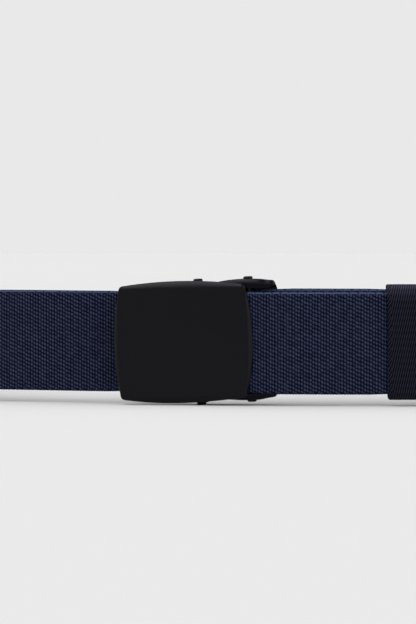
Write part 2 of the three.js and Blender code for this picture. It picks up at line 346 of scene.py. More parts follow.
# Joins two rings of unlike point counts with triangles, by how far round each point is
def zipRings(firstA, roundA, firstB, roundB):
    countA, countB = len(roundA) - 1, len(roundB) - 1
    i = j = 0
    faces = []
    while i < countA or j < countB:
        if j == countB or (i < countA and roundA[i + 1] <= roundB[j + 1] + 1e-6):
            corners = [(firstA + i % countA, 0, roundA[i]), (firstB + j % countB, 1, roundB[j]),
                       (firstA + (i + 1) % countA, 0, roundA[i + 1])]
            i += 1
        else:
            corners = [(firstA + i % countA, 0, roundA[i]), (firstB + j % countB, 1, roundB[j]),
                       (firstB + (j + 1) % countB, 1, roundB[j + 1])]
            j += 1
        faces.append(corners)
    return faces


def makeStrap():
    random = np.random.default_rng(weave["seed"])
    wander = random.uniform(-1, 1, weave["draws"]) * weave["unevenness"]
    rings = {"plain": strapRing(strapBand["plainStep"]), "crowned": strapRing(strapBand["rowStep"])}
    starts = [lap * waistLength + along for lap, along, ring, density in strapStretches] + [strapEnd]
    points, faces, corners = [], [], []
    made = 0
    last = None
    for (lap, along, kind, density), begin, end in zip(strapStretches, starts, starts[1:]):
        step = columnPitch / density
        first = math.ceil(begin / step) * step
        stations = np.arange(first, end - 0.01, step)
        if begin == strapStart:
            stations = np.concatenate(([strapStart], stations))
        if end == strapEnd:
            sealedAt = strapEnd - np.array(strapBand["sealedSteps"])
            stations = np.concatenate((stations[stations < sealedAt[0] - 0.05], sealedAt))
        ring = rings[kind]
        reach = (begin, end) if density == crownSections else (0, 0)
        if end == strapEnd:
            reach = (begin, end + strapBand["width"])  # the crowns run out to the cut end
        sections = strapSections(stations, ring, reach, wander)
        rounds = wayRound(ring)
        count = len(ring)
        points.append(sections.reshape(-1, 3))
        if last:
            for triangle in zipRings(last[0], last[1], made, rounds):
                faces.append([corner[0] for corner in triangle])
                corners += [((last[2], stations[0])[corner[1]], corner[2]) for corner in triangle]
        for i in range(len(stations) - 1):
            here = made + i * count
            for j in range(count):
                k = (j + 1) % count
                faces.append([here + j, here + count + j, here + count + k, here + k])
                corners += [(stations[i], rounds[j]), (stations[i + 1], rounds[j]),
                            (stations[i + 1], rounds[j + 1]), (stations[i], rounds[j + 1])]
        if begin == strapStart:
            faces.append(list(range(count)))
            corners += [(strapStart, up) for up in ring[:, 1]]
        last = (made + (len(stations) - 1) * count, rounds, stations[-1])
        made += len(stations) * count
    faces.append(list(reversed(range(last[0], made))))
    corners += [(strapEnd, up) for up in reversed(ring[:, 1])]
    mesh = bpy.data.meshes.new("strap_woven")
    mesh.from_pydata(np.concatenate(points).tolist(), [], faces)
    layer = mesh.uv_layers.new(name="weaveMap")
    layer.uv.foreach_set("vector", (np.array(corners) * mm).astype(np.float32).ravel())
    mesh.shade_smooth()
    return newObject("strap_woven", mesh), rounds[-1] - rounds[0]


# Polyester webbing, woven on a narrow loom and dyed navy: matt yarn whose crowns catch the light.
# The flank and gap colours are painted shade on the crowns' flanks and in the gaps between them.
webbingLook = {
    "crown": "#3b3f56", "flankShade": "#0e152e", "gap": "#00020a", "selvage": "#303b5a", "selvagePaintedHighlight": "#4f5c7a",
    "roughness": 0.75, "specular": 0.05, "crownUneven": 0.2, "relief": 0.5,
    "yarnMm": 0.1, "yarnStretch": 4, "yarnUneven": 0.25,
    # the band of painted light on the top selvage, its blurred edge, and where in a repeat its stitch
    # begins
    "selvageWide": 1.05, "selvageBlur": 0.1, "stitchAt": 0.16,
    "stitchFrom": 0.02, "stitchTo": 0.24, "stitchDark": 0.2, "stitchPale": 0.8,
}


def webbingMaterial(girth):
    material, add = newMaterial("polyesterWebbingWovenNavy")
    place = add("ShaderNodeUVMap", {"uv_map": "weaveMap"})
    split = add("ShaderNodeSeparateXYZ", links={0: place}).node
    along, up = split.outputs[0], split.outputs[1]

    repeats = add(mathNode, {"operation": "DIVIDE", 1: weave["repeat"] * mm}, {0: along})
    rows = add(mathNode, {"operation": "DIVIDE", 1: -weave["rowPitch"] * mm}, {0: up})

    # The same oval crowns as the mesh has, each with a shade of its own
    crown = None
    for i, (columnAt, drop) in enumerate(weave["columns"]):
        cell, offset = [], []
        for value, start in ((repeats, columnAt), (rows, drop)):
            value = add(mathNode, {"operation": "SUBTRACT", 1: start}, {0: value})
            cell.append(add(mathNode, {"operation": "ROUND"}, {0: value}))
            offset.append(add(mathNode, {"operation": "SUBTRACT"}, {0: value, 1: cell[-1]}))
        x, y = offset
        x = add(mathNode, {"operation": "MULTIPLY", 1: len(weave["columns"])}, {0: x})
        x = add(mathNode, {"operation": "MULTIPLY_ADD", 1: -weave["lean"]}, {0: y, 2: x})
        squares = []
        for value, reach in ((x, weave["halfWidth"]), (y, weave["halfHeight"])):
            value = add(mathNode, {"operation": "DIVIDE", 1: reach}, {0: value})
            squares.append(add(mathNode, {"operation": "MULTIPLY"}, {0: value, 1: value}))
        reach = add(mathNode, {"operation": "ADD"}, {0: squares[0], 1: squares[1]})
        oval = add(mathNode, {"operation": "SUBTRACT", 0: 1}, {1: reach})
        oval = add(mathNode, {"operation": "MAXIMUM", 1: 0}, {0: oval})
        oval = add(mathNode, {"operation": "POWER", 1: weave["roundness"]}, {0: oval})
        cell = add("ShaderNodeCombineXYZ", {2: i}, {0: cell[0], 1: cell[1]})
        chance = add("ShaderNodeTexWhiteNoise", {"noise_dimensions": "3D"}, {"Vector": cell})
        chance = add(rangeNode, {
            "To Min": 1 - webbingLook["crownUneven"], "To Max": 1 + webbingLook["crownUneven"],
        }, {"Value": chance})
        oval = add(mathNode, {"operation": "MULTIPLY"}, {0: oval, 1: chance})
        crown = add(mathNode, {"operation": "MAXIMUM"}, {0: crown, 1: oval}) if crown else oval

    # How far up the section from its foot. Crowns run to the foot, painted light tops them on the top
    # selvage.
    fromFoot = add(mathNode, {"operation": "ADD", 1: girth / 4 * mm}, {0: up})
    fromFoot = add(mathNode, {"operation": "PINGPONG", 1: girth / 2 * mm}, {0: fromFoot})
    bandFoot = girth / 2 - webbingLook["selvageWide"]
    bandFrom = (bandFoot - webbingLook["selvageBlur"]) * mm
    bandTo = (bandFoot + webbingLook["selvageBlur"]) * mm
    onBand = add(rangeNode, {
        "interpolation_type": "SMOOTHSTEP", "From Min": bandFrom, "From Max": bandTo,
    }, {"Value": fromFoot})
    upBand = add(rangeNode, {"From Min": bandFrom, "From Max": girth / 2 * mm}, {"Value": fromFoot})

    # Fine yarns streak the crowns
    stretch = (1, 1 / webbingLook["yarnStretch"], 1)
    streak = add("ShaderNodeVectorMath", {"operation": "MULTIPLY", 1: stretch}, {0: place})
    yarn = add("ShaderNodeTexNoise", {
        "Scale": 1 / (webbingLook["yarnMm"] * mm), "Detail": 2,
    }, {"Vector": streak})
    yarn = add(rangeNode, {
        "From Min": 0.3, "From Max": 0.7,
        "To Min": 1 - webbingLook["yarnUneven"], "To Max": 1 + webbingLook["yarnUneven"],
    }, {"Value": yarn})
    lit = add(mathNode, {"operation": "MULTIPLY"}, {0: crown, 1: yarn})

    # Painted shade: the colour darkens from the crowns' tops over their flanks to near black in the gaps
    shades = add("ShaderNodeValToRGB", {"stops": [
        (0.05, webbingLook["gap"]), (0.38, webbingLook["flankShade"]), (0.85, webbingLook["crown"]),
    ]}, {"Fac": lit})
    # Painted light on the top selvage: dark at its foot, a painted highlight line, then paler than the face
    band = add("ShaderNodeValToRGB", {"stops": [
        (0.04, webbingLook["gap"]), (0.2, webbingLook["selvagePaintedHighlight"]), (0.55, webbingLook["selvage"]),
    ]}, {"Fac": upBand})
    # The selvage shows a dark stitch once in each repeat, some pulled deeper than others
    stitchAt = add(mathNode, {"operation": "ADD", 1: webbingLook["stitchAt"]}, {0: repeats})
    fromStitch = add(mathNode, {"operation": "PINGPONG", 1: 0.5}, {0: stitchAt})
    stitch = add(mathNode, {"operation": "ROUND"}, {0: stitchAt})
    stitch = add("ShaderNodeTexWhiteNoise", {"noise_dimensions": "1D"}, {"W": stitch})
    stitch = add(rangeNode, {
        "To Min": webbingLook["stitchDark"], "To Max": webbingLook["stitchPale"],
    }, {"Value": stitch})
    seam = add(rangeNode, {
        "From Min": webbingLook["stitchFrom"], "From Max": webbingLook["stitchTo"], "To Max": 1,
    }, {"Value": fromStitch, "To Min": stitch})
    seam = add(mathNode, {"operation": "MULTIPLY"}, {0: seam, 1: yarn})
    # Sockets 0, 6 and 7 of a colour mix are its share and its two colours, output 2 the mixed one
    seamed = add("ShaderNodeMix", {
        "data_type": "RGBA", 6: linearColour(webbingLook["gap"]),
    }, {0: seam, 7: band}).node.outputs[2]
    colour = add("ShaderNodeMix", {"data_type": "RGBA"}, {0: onBand, 6: shades, 7: seamed}).node.outputs[2]
    offBand = add(mathNode, {"operation": "SUBTRACT", 0: 1}, {1: onBand})
    heights = add(mathNode, {"operation": "MULTIPLY"}, {0: lit, 1: offBand})
    relief = add("ShaderNodeBump", {
        "Strength": webbingLook["relief"], "Distance": weave["crownHeight"] * mm,
    }, {"Height": heights})
    surface = add("ShaderNodeBsdfPrincipled", {
        "Roughness": webbingLook["roughness"], "Specular IOR Level": webbingLook["specular"],
    }, {"Base Color": colour, "Normal": relief})
    add("ShaderNodeOutputMaterial", links={"Surface": surface})
    return material


strap, strapGirth = makeStrap()
placePiece(strap, webbingMaterial(strapGirth), "webbing_strap")


# The buckle. Along is to the right of the plate's middle, depth is behind its face, and up is
# from the pins' middle.

plate = {
    "width": 53, "height": 46.3, "thickness": 2, "endBow": 2.2, "longBow": 1.5, "corner": 2.3,
    "faceWidth": 48.4, "faceHeight": 40.8, "faceBow": 0.05, "faceCorner": 1.6,
    "rimDrop": 1.35, "rimPower": 2.1, "rimRings": 12, "edgeRound": 0.3, "pointsPerCurve": 16,
    "footLift": 0.5, "liftFrom": -15, "liftTo": 15,
}
pin = {
    "radius": 1.1, "headRadius": 1.8, "domeRadius": 1, "domeShare": 0.62, "rimRound": 0.08, "neck": 0.05,
    "sides": 32, "holeRadius": 1.5, "holeLength": 60, "holeSides": 24,
}
platePin = {"along": 5.7, "depth": 6, "halfLength": 23.85, "headHeight": 0.9}
clampPin = {"along": 24.8, "depth": 6.5, "halfLength": 23.7, "headHeight": 0.9}
lean = {"plate": 1.2, "platePin": 1.8, "clip": 1.4, "clampPin": 2, "keeper": 1}  # degrees, top to the left
clipRise = 0.3
clampPinRise = 0.35
buckleHeight = (platePin["halfLength"] * math.cos(math.radians(lean["platePin"]))
                + pin["domeRadius"] * math.sin(math.radians(lean["platePin"])))


def leaning(place, degrees, rise=0):
    away = Matrix.Translation((-place["along"], 0, 0))
    back = Matrix.Translation((place["along"], 0, rise))
    return back @ Matrix.Rotation(-math.radians(degrees), 4, "Y") @ away


buckleSeat = Matrix.Translation((0, faceY, buckleHeight))
plateSeat = buckleSeat @ leaning(platePin, lean["plate"])
platePinSeat = buckleSeat @ leaning(platePin, lean["platePin"])
clipSeat = buckleSeat @ leaning(platePin, lean["clip"], clipRise)
clampSeat = clipSeat @ leaning(clampPin, lean["clampPin"] - lean["clip"])
clampPinSeat = clampSeat @ Matrix.Translation((0, 0, clampPinRise))


def quadratic(a, b, c, steps):
    t = np.linspace(0, 1, steps + 1)[1:, None]
    a, b, c = np.array(a), np.array(b), np.array(c)
    return a * (1 - t) ** 2 + b * 2 * t * (1 - t) + c * t ** 2


# Four bowed sides and four round corners, as (along, up) pairs
def bowedOutline(width, height, endBow, longBow, corner):
    x = width / 2 - endBow
    z = height / 2 - longBow
    bowX, bowZ = x + 2 * endBow, z + 2 * longBow
    stops = [
        ((x - corner, z), (x, z), (x, z - corner)),
        ((x, z - corner), (bowX, 0), (x, corner - z)),
        ((x, corner - z), (x, -z), (x - corner, -z)),
        ((x - corner, -z), (0, -bowZ), (corner - x, -z)),
        ((corner - x, -z), (-x, -z), (-x, corner - z)),
        ((-x, corner - z), (-bowX, 0), (-x, z - corner)),
        ((-x, z - corner), (-x, z), (corner - x, z)),
        ((corner - x, z), (0, bowZ), (x - corner, z)),
    ]
    return np.concatenate([quadratic(*stop, plate["pointsPerCurve"]) for stop in stops])


# The casting's foot edge runs a little higher toward its right end
def footLifted(outline):
    share = np.clip((outline[:, 0] - plate["liftFrom"]) / (plate["liftTo"] - plate["liftFrom"]), 0, 1)
    below = np.clip(-outline[:, 1] / (plate["height"] / 2), 0, 1)
    lift = plate["footLift"] * share * share * (3 - 2 * share) * below
    return outline + np.stack([0 * lift, lift], -1)


# A flat face inside a rounded rim that is widest and deepest half way along each side
def plateBody():
    rim = bowedOutline(plate["width"], plate["height"], plate["endBow"], plate["longBow"], plate["corner"])
    face = bowedOutline(plate["faceWidth"], plate["faceHeight"], plate["faceBow"], plate["faceBow"],
                        plate["faceCorner"])
    rim, face = footLifted(rim), footLifted(face)
    gap = np.linalg.norm(rim - face, axis=1)
    depth = plate["rimDrop"] * np.minimum(1, gap / ((plate["height"] - plate["faceHeight"]) / 2))
    outwardWay = (rim - face) / gap[:, None]

    def ring(points, depths):
        return np.stack([points[:, 0], depths, points[:, 1]], -1)

    rings = []
    edge = plate["edgeRound"]
    for share in np.linspace(0, 1, plate["rimRings"]):
        reach = (gap - edge * 0.5) * share
        rings.append(ring(face + outwardWay * reach[:, None], depth * share ** plate["rimPower"]))
    # The rim's round front edge, then its round back edge
    for turn in np.radians([35, 65, 90]):
        inset = edge * 0.5 * (1 - math.sin(turn))
        rings.append(ring(rim - outwardWay * inset, depth + edge * (1 - math.cos(turn))))
    for inset, back in ((0, 1), (0.1, 0.5), (0.5, 0.12), (1, 0)):
        rings.append(ring(rim - outwardWay * inset * edge, 0 * gap + plate["thickness"] - back * edge))
    return skinned("plate_painted", rings)


ear = {"inner": 21.6, "outer": 22.7, "radius": 3.2, "root": 0.5}
cam = {"halfLength": 19.2, "halfWidth": 3, "depth": 9.2, "nose": 1.5}


def arc(x, y, radius, start, end, steps):
    turns = np.radians(np.linspace(start, end, steps + 1))
    return [(x + radius * math.cos(a), y + radius * math.sin(a)) for a in turns]


def pinHole(place):
    step = 360 / pin["holeSides"]
    rim = arc(place["along"], place["depth"], pin["holeRadius"], 0, 360 - step, pin["holeSides"] - 1)
    return upPrism("hole", rim, -pin["holeLength"] / 2, pin["holeLength"] / 2)


def makePlate():
    body = plateBody()
    root = plate["thickness"] - ear["root"]
    along, depth = platePin["along"], platePin["depth"]
    earShape = [(along - ear["radius"], root), (along + ear["radius"], root)]
    earShape += arc(along, depth, ear["radius"], 0, 180, 20)
    nose = cam["nose"]
    aside, tip = cam["halfWidth"] - nose, cam["depth"] - nose
    camShape = [(along - cam["halfWidth"], root), (along + cam["halfWidth"], root)]
    camShape += arc(along + aside, tip, nose, 0, 90, 6) + arc(along - aside, tip, nose, 90, 180, 6)
    combine(body, upPrism("ear", earShape, ear["inner"], ear["outer"]), "UNION")
    combine(body, upPrism("ear", earShape, -ear["outer"], -ear["inner"]), "UNION")
    combine(body, upPrism("cam", camShape, -cam["halfLength"], cam["halfLength"]), "UNION")
    combine(body, pinHole(platePin), "DIFFERENCE")
    smoothed(body)
    return body


# Die-cast zinc, sprayed satin black: an even charcoal face with a soft light on its rim
plateLook = {
    "colour": "#08070e", "roughness": 0.3, "roughSpread": 0.05, "cloudsPerMetre": 90, "specular": 0.15,
    "speckMm": 0.35, "speckDepth": 0.012, "relief": 0.5,
}


def plateMaterial():
    material, add = newMaterial("castZincSprayedSatinBlack")
    place = add("ShaderNodeTexCoord").node.outputs["Object"]
    speck = add("ShaderNodeTexNoise", {
        "Scale": 1 / (plateLook["speckMm"] * mm), "Detail": 3,
    }, {"Vector": place})
    cloud = add("ShaderNodeTexNoise", {
        "Scale": plateLook["cloudsPerMetre"], "Detail": 2,
    }, {"Vector": place})
    rough = add(rangeNode, {
        "To Min": plateLook["roughness"] - plateLook["roughSpread"],
        "To Max": plateLook["roughness"] + plateLook["roughSpread"],
    }, {"Value": cloud})
    relief = add("ShaderNodeBump", {
        "Strength": plateLook["relief"], "Distance": plateLook["speckDepth"] * mm,
    }, {"Height": speck})
    surface = add("ShaderNodeBsdfPrincipled", {
        "Base Color": linearColour(plateLook["colour"]), "Specular IOR Level": plateLook["specular"],
    }, {"Roughness": rough, "Normal": relief})
    add("ShaderNodeOutputMaterial", links={"Surface": surface})
    return material


placePiece(makePlate(), plateMaterial(), "front_plate", plateSeat)


# The clip body: a channel bent from sheet, open at both ends. Its mouth at the front is straight,
# so that a lip is left where the sides bow out past it.
clip = {
    "left": -5, "right": 34.8, "front": 2.7, "floor": 11.6, "back": 12.8, "wall": 1.3, "bend": 3,
    "mouthTop": 19.6, "mouthFoot": 20.2, "lipBend": 1.8, "leastLip": 0.1, "bendSteps": 7,
    "innerRound": 0.4, "lipInside": 0.2, "lipDrop": 0.05,
    "endHalf": 21.8, "endPower": 2.6, "cutPower": 2, "endSlope": 0.3, "slopeFrom": 19.2, "lipSlope": 0.7,
    "frontRound": 0.5, "earStart": 2.4, "footShort": 0.45, "footTaper": 0.4, "taperFrom": 28,
    "sideBlend": 0.8, "stations": 80, "endStations": 14,
}

# Half height of the clip body along its length
clipSides = [
    # along, half height
    (-5, 21),
    (8.8, 21),
    (11.2, 21.6),
    (13.6, 22.3),
    (17, 22.8),
    (21.5, 23.12),
    (26, 23.1),
    (29, 22.95),
    (32, 22.5),
]


def clipHalf(along):
    rows = np.array(clipSides)
    reaches = np.array([-clip["sideBlend"], 0, clip["sideBlend"]])
    smooth = np.interp(along + reaches, rows[:, 0], rows[:, 1]).mean()
    last, power = rows[-1, 0], clip["endPower"]
    share = min(1, max(0, (along - last) / (clip["right"] - last)))
    return smooth - (rows[-1, 1] - clip["endHalf"]) * (1 - (1 - share ** power) ** (1 / power))


# One side of the channel's section, from its mouth round the lip's bend and the back bend: (depth, height)
def clipSide(half, mouth):
    bend, wall, front, back = clip["bend"], clip["wall"], clip["front"], clip["back"]
    inside = half - wall
    mouth = min(mouth, inside - clip["leastLip"])
    lip = min(clip["lipBend"], half - mouth - clip["leastLip"])
    turns = np.radians(np.linspace(0, 90, clip["bendSteps"] + 1))
    outer = [(front, mouth)]
    outer += [(front + lip - lip * math.cos(a), half - lip + lip * math.sin(a)) for a in turns]
    outer += [(back - bend + bend * math.sin(a), half - bend + bend * math.cos(a)) for a in turns]
    inner = [(clip["floor"], inside - clip["innerRound"]), (clip["floor"] - clip["innerRound"], inside),
             (front + wall + clip["lipInside"], inside), (front + wall, inside - clip["lipDrop"]),
             (front + wall, mouth)]
    return outer, inner


# The channel bows out less at its foot than at its top, and least at its right end
def clipFootHalf(along):
    bowed = min(1, max(0, (along - clipSides[1][0]) / (clipSides[3][0] - clipSides[1][0])))
    tapered = min(1, max(0, (along - clip["taperFrom"]) / (clip["right"] - clip["taperFrom"])))
    return clipHalf(along) - clip["footShort"] * bowed - clip["footTaper"] * tapered


# The channel's section, clockwise from the upper lip
def clipSection(along):
    outerTop, innerTop = clipSide(clipHalf(along), clip["mouthTop"])
    outerFoot, innerFoot = clipSide(clipFootHalf(along), clip["mouthFoot"])
    outside = outerTop + [(d, -h) for d, h in reversed(outerFoot)]
    inside = [(d, -h) for d, h in reversed(innerFoot)] + innerTop
    return outside + inside


# The end is cut to slope back toward its top, and the upper lip's end slopes the other way
def clipEndCut(along, depth, height):
    share = max(0, (along - clipSides[-1][0]) / (clip["right"] - clipSides[-1][0])) ** clip["cutPower"]
    behind = min(1, max(0, (depth - clip["front"]) / clip["wall"] - 0.5))
    slope = clip["endSlope"] * max(0, abs(height) - clip["slopeFrom"])
    lip = clip["lipSlope"] * max(0, clip["endHalf"] - height) if height > 0 else 0
    return share * (slope * behind + lip * (1 - behind))


def makeClip():
    left, right, front, floor = clip["left"], clip["right"], clip["front"], clip["floor"]
    last = clipSides[-1][0]
    endTurn = np.linspace(0, np.pi / 2, clip["endStations"] + 1)[1:]
    alongs = np.linspace(left, last, clip["stations"])
    alongs = np.concatenate((alongs, last + (right - last) * np.sin(endTurn)))
    rings = [[(a - clipEndCut(a, d, h), d, h) for d, h in clipSection(a)] for a in alongs]
    body = skinned("clip_pressed", rings)

    # Cut away as seen from above: a hollow left of the ears, and a small round at the right
    start, pinDepth = clip["earStart"], platePin["depth"]
    corner = clip["frontRound"]
    hollow = [(left - 1, floor)]
    hollow += quadratic((left, floor), (start, floor), (start, pinDepth), 10).tolist()
    hollow += quadratic((start, pinDepth), (start, front), (platePin["along"], front), 8).tolist()
    hollow += [(platePin["along"], front - 1), (left - 1, front - 1)]
    rounding = arc(right - corner, front + corner, corner, -90, 0, 10)
    rounding += [(right + 1, front + corner), (right + 1, front - 1), (right - corner, front - 1)]
    for outline in (hollow, rounding):
        combine(body, upPrism("cut", outline, -pin["holeLength"] / 2, pin["holeLength"] / 2), "DIFFERENCE")
    combine(body, pinHole(platePin), "DIFFERENCE")
    combine(body, pinHole(clampPin), "DIFFERENCE")
    smoothed(body)
    return body


# Pressed steel, dipped in gloss-black enamel: darker than the plate, with small hard highlights
# on its bends
clipLook = {
    "colour": "#0a0911", "smoothest": 0.11, "roughest": 0.21, "specular": 0.08,
    "waveMm": 2.5, "waveDepth": 0.01, "relief": 0.4,
}


def clipMaterial():
    material, add = newMaterial("pressedSteelGlossBlackEnamel")
    place = add("ShaderNodeTexCoord").node.outputs["Object"]
    wave = add("ShaderNodeTexNoise", {
        "Scale": 1 / (clipLook["waveMm"] * mm), "Detail": 1,
    }, {"Vector": place})
    relief = add("ShaderNodeBump", {
        "Strength": clipLook["relief"], "Distance": clipLook["waveDepth"] * mm,
    }, {"Height": wave})
    rough = add(rangeNode, {
        "To Min": clipLook["smoothest"], "To Max": clipLook["roughest"],
    }, {"Value": wave})
    surface = add("ShaderNodeBsdfPrincipled", {
        "Base Color": linearColour(clipLook["colour"]), "Specular IOR Level": clipLook["specular"],
    }, {"Roughness": rough, "Normal": relief})
    add("ShaderNodeOutputMaterial", links={"Surface": surface})
    return material


placePiece(makeClip(), clipMaterial(), "clip_body", clipSeat)


# The pins and the jaw

# A round pin with a domed head at both ends
def makePin(name, place):
    top, wide, flat = place["halfLength"], pin["headRadius"], pin["domeRadius"]
    under = top - place["headHeight"]
    dome = place["headHeight"] * pin["domeShare"]
    rim = pin["rimRound"]
    head = [(pin["radius"], under - pin["neck"]), (wide - rim, under), (wide, under + rim)]
    for turn in np.radians(np.linspace(12, 78, 7)):
        head.append((flat + (wide - flat) * math.cos(turn), top - dome + dome * math.sin(turn)))
    head.append((flat, top))
    profile = [(r, -z) for r, z in reversed(head)] + head
    turns = np.linspace(0, 2 * np.pi, pin["sides"] + 1)[:-1]
    circle = np.stack([np.cos(turns), np.sin(turns), 0 * turns], -1)
    rings = [circle * radius + (place["along"], place["depth"], height) for radius, height in profile]
    piece = skinned(name, rings)
    smoothed(piece, 40)
    return piece


jaw = {
    "halfLength": 18.6, "barrel": 2.1, "footHalfWidth": 2.9, "footDepth": 9.2, "tooth": 0.6, "teeth": 4,
    "edgeRound": 0.12,
}


# The jaw that holds the fixed end: a barrel on the clamp pin with a toothed foot
def makeJaw():
    along, depth = clampPin["along"], clampPin["depth"]
    valley = jaw["footDepth"] - jaw["tooth"]
    pitch = 2 * jaw["footHalfWidth"] / jaw["teeth"]
    outline = [(along + jaw["footHalfWidth"], valley)]
    for tooth in range(jaw["teeth"]):
        right = along + jaw["footHalfWidth"] - tooth * pitch
        outline += [(right - pitch / 2, jaw["footDepth"]), (right - pitch, valley)]
    outline += arc(along, depth, jaw["barrel"], 180, 360, 24)
    piece = upPrism("jaw_toothed", outline, -jaw["halfLength"], jaw["halfLength"])
    combine(piece, pinHole(clampPin), "DIFFERENCE")
    bevelled(piece, jaw["edgeRound"], 50)
    smoothed(piece)
    return piece


# Turned steel with a black oxide finish: a dark, slightly brown metal with lathe marks round it.
# A real mark is 0.12 mm, drawn four times coarser so that a render shows it.
steelLook = {
    "colour": "#1b1a1d", "metallic": 0.85, "roughness": 0.36, "roughSpread": 0.08,
    "markMm": 0.12, "markCoarser": 4, "markStretch": 0.15, "markDepth": 0.01, "relief": 0.3,
}


def steelMaterial():
    material, add = newMaterial("turnedSteelBlackOxide")
    place = add("ShaderNodeTexCoord").node.outputs["Object"]
    stretch = (steelLook["markStretch"], steelLook["markStretch"], 1)
    place = add("ShaderNodeVectorMath", {"operation": "MULTIPLY", 1: stretch}, {0: place})
    marks = add("ShaderNodeTexNoise", {
        "Scale": 1 / (steelLook["markMm"] * steelLook["markCoarser"] * mm), "Detail": 2,
    }, {"Vector": place})
    rough = add(rangeNode, {
        "To Min": steelLook["roughness"] - steelLook["roughSpread"],
        "To Max": steelLook["roughness"] + steelLook["roughSpread"],
    }, {"Value": marks})
    relief = add("ShaderNodeBump", {
        "Strength": steelLook["relief"], "Distance": steelLook["markDepth"] * mm,
    }, {"Height": marks})
    surface = add("ShaderNodeBsdfPrincipled", {
        "Base Color": linearColour(steelLook["colour"]), "Metallic": steelLook["metallic"],
    }, {"Roughness": rough, "Normal": relief})
    add("ShaderNodeOutputMaterial", links={"Surface": surface})
    return material


steel = steelMaterial()
placePiece(makePin("plate_pin_turned", platePin), steel, "plate_pin", platePinSeat)
placePiece(makePin("clamp_pin_turned", clampPin), steel, "clamp_pin", clampPinSeat)
placePiece(makeJaw(), steel, "clamp_jaw", clampSeat)


# The keeper: a wide loop of elastic round both layers of the strap
keeper = {
    "from": 76.2, "length": 38, "wall": 1.3, "halfHeight": 21.65, "front": 2.1, "back": 9.25,
    "middle": 24.05, "outerCorner": 1.8, "innerCorner": 0.6, "bulge": 0.12,
    "rollBack": 1.6, "rollHeight": 8, "alongSteps": 48, "sideStep": 1.2, "cornerSteps": 7,
    "ribPitch": 0.84, "ribAngle": 77, "pickPitch": 2.3, "ribDepth": 0.12,
    "cordPitch": 1.9, "cordSlope": 2, "cordWide": 1.3,
}


# Round the elastic's section at one inset from its outer face: (depth, height, way round)
def keeperOutline(inset):
    narrowing = (keeper["outerCorner"] - keeper["innerCorner"]) * inset / keeper["wall"]
    corner = keeper["outerCorner"] - narrowing
    halfDepth = (keeper["back"] - keeper["front"]) / 2 - inset
    halfHeight = keeper["halfHeight"] - inset
    middle = (keeper["front"] + keeper["back"]) / 2
    straight = keeper["halfHeight"] - keeper["outerCorner"]
    steps = round(2 * straight / keeper["sideStep"])
    points = []
    for quarter in range(4):
        sideDepth = 1 if quarter in (0, 3) else -1
        sideHeight = 1 if quarter < 2 else -1
        for step in range(keeper["cornerSteps"] + 1):
            angle = (quarter + step / keeper["cornerSteps"]) * math.pi / 2
            points.append((middle + sideDepth * (halfDepth - corner) + corner * math.cos(angle),
                           sideHeight * (halfHeight - corner) + corner * math.sin(angle)))
        if quarter in (1, 3):  # down the front, then up the back
            depth, height = points[-1]
            for step in range(1, steps):
                share = step / steps
                bow = keeper["bulge"] * math.sin(math.pi * share) * (-1 if quarter == 1 else 1)
                points.append((depth + bow, height * (1 - 2 * share)))
    # The front face leans back over its top few millimetres
    depth, height = np.array(points).T
    toFront = 1 - (depth - keeper["front"]) / (keeper["back"] - keeper["front"])
    toTop = np.maximum(0, (height - keeper["halfHeight"]) / keeper["rollHeight"] + 1)
    return np.stack([depth + keeper["rollBack"] * toFront * toTop ** 3, height], -1)


def makeKeeper():
    wall, length = keeper["wall"], keeper["length"]
    half = wall / 2
    run = np.linspace(half, length - half, keeper["alongSteps"] + 1)
    turns = np.radians(np.linspace(90, -90, 7))[1:-1]
    profile = [(a, 0) for a in run]
    profile += [(length - half + half * math.cos(t), half - half * math.sin(t)) for t in turns]
    profile += [(a, wall) for a in reversed(run)]
    profile += [(half - half * math.cos(t), half + half * math.sin(t)) for t in turns]
    slant = math.tan(math.radians(lean["keeper"]))
    rings = []
    for along, inset in profile:
        outline = keeperOutline(inset)
        rings.append(onWaist(keeper["from"] + along - outline[:, 1] * slant, outline[:, 0],
                             keeper["middle"] + outline[:, 1]))
    piece = skinned("keeper_elastic", rings, joined=True)
    outline = keeperOutline(0)
    steps = np.linalg.norm(np.roll(outline, -1, 0) - outline, axis=1)
    way = np.concatenate(([0], np.cumsum(steps)))
    count = len(outline)
    layer = piece.data.uv_layers.new(name="weaveMap")
    for face in piece.data.polygons:
        rows = [v // count for v in face.vertices]
        places = [v % count for v in face.vertices]
        wraps = max(places) - min(places) > 1
        for loop, row, place in zip(face.loop_indices, rows, places):
            v = way[count] if wraps and place == 0 else way[place]
            layer.uv[loop].vector = (profile[row][0] * mm, v * mm)
    piece.data.shade_smooth()
    return piece, way[count]


# Woven elastic in black polyester over rubber: steep twill ribs with painted shade in the gaps
# between them, matt, and painted lighter toward its upper fold, where light falls on its top
elasticLook = {
    "rib": "#282837", "gap": "#000001", "roughness": 0.75, "specular": 0.05,
    "foldLitRib": "#4e4d60", "foldLitGap": "#1e1e28", "foldLitWide": 9, "foldLitPower": 3,
    "pickShare": 0.2, "darkest": -0.7, "palest": 1.2, "relief": 0.8,
}


